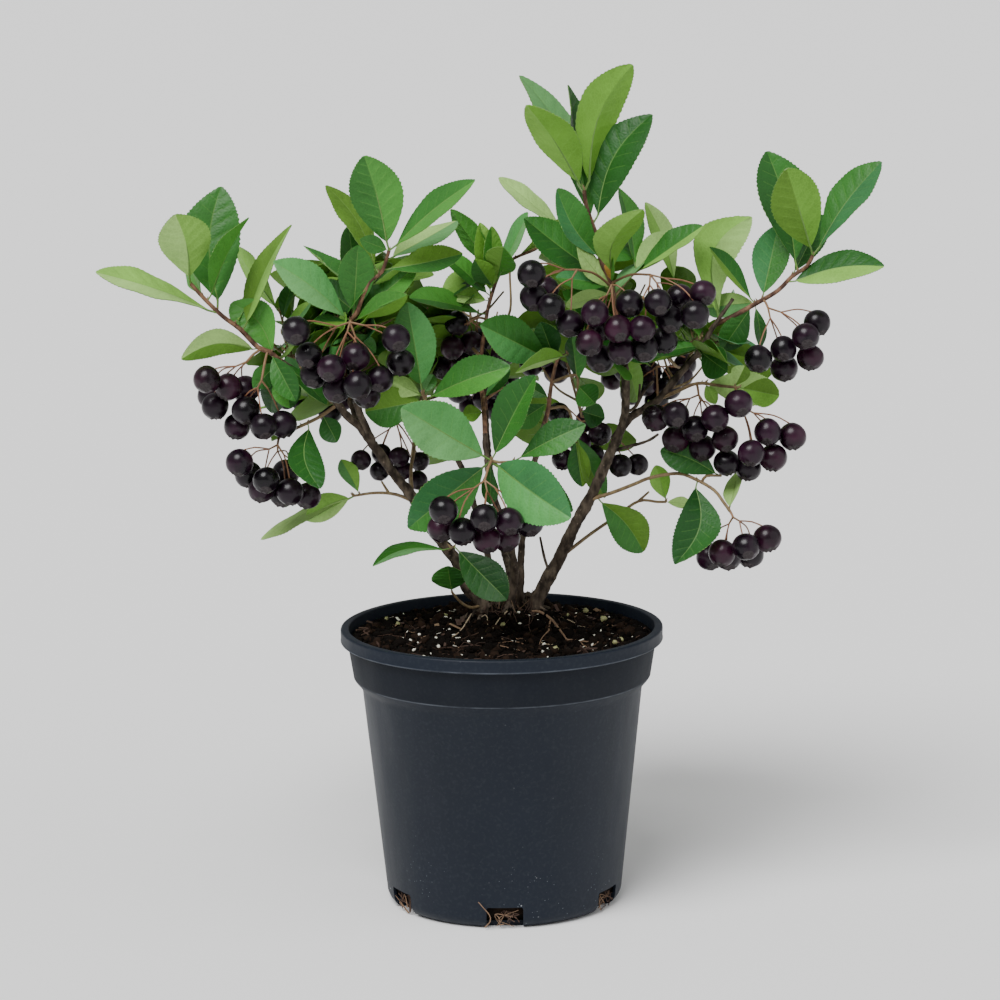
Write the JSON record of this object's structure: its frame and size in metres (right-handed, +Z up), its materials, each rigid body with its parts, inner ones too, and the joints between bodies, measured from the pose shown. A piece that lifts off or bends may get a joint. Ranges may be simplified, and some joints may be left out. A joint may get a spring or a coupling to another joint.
{
  "type": "potted black chokeberry",
  "caption": "Multi-stemmed chokeberry shrub in fruit, standing in a round tapered nursery pot filled with peat.",
  "frame": {"origin": "centre of the pot's flat underside", "axes": "+Z up along the pot's axis, the shrub's front towards -Y, its right side as the front view shows it towards +X"},
  "size_m": [0.4053, 0.254, 0.4396],
  "materials": {
    "pot": "matte",
    "soil": "rough",
    "bark": "rough",
    "foliage": "satin"
  },
  "bodies": {
    "root": {"centre_back_foliage": "foliage", "centre_left_foliage": "foliage", "centre_right_foliage": "foliage", "foot_foliage": "foliage", "foot_sprout": "foliage", "front_rosette": "foliage", "front_stem": "bark", "inner_left_foliage": "foliage", "inner_right_foliage": "foliage", "leader_bough": "bark", "leader_foliage": "foliage", "left_back_twig": "foliage", "left_berry_twig": "foliage", "left_inner_bough": "bark", "left_inner_foliage": "foliage", "left_low_foliage": "foliage", "left_outer_bough": "bark", "left_shoulder_foliage": "foliage", "left_stem": "bark", "left_tip_foliage": "foliage", "middle_stem": "bark", "pot": "pot", "rear_far_left_foliage": "foliage", "rear_far_right_foliage": "foliage", "rear_left_foliage": "foliage", "rear_left_stem": "bark", "rear_middle_foliage": "foliage", "rear_middle_stem": "bark", "rear_right_foliage": "foliage", "rear_right_stem": "bark", "right_back_twig": "foliage", "right_bough": "bark", "right_low_foliage": "foliage", "right_middle_foliage": "foliage", "right_stem": "bark", "right_tip_foliage": "foliage", "slender_stem": "bark", "soil": "soil"}
  },
  "joints": []
}
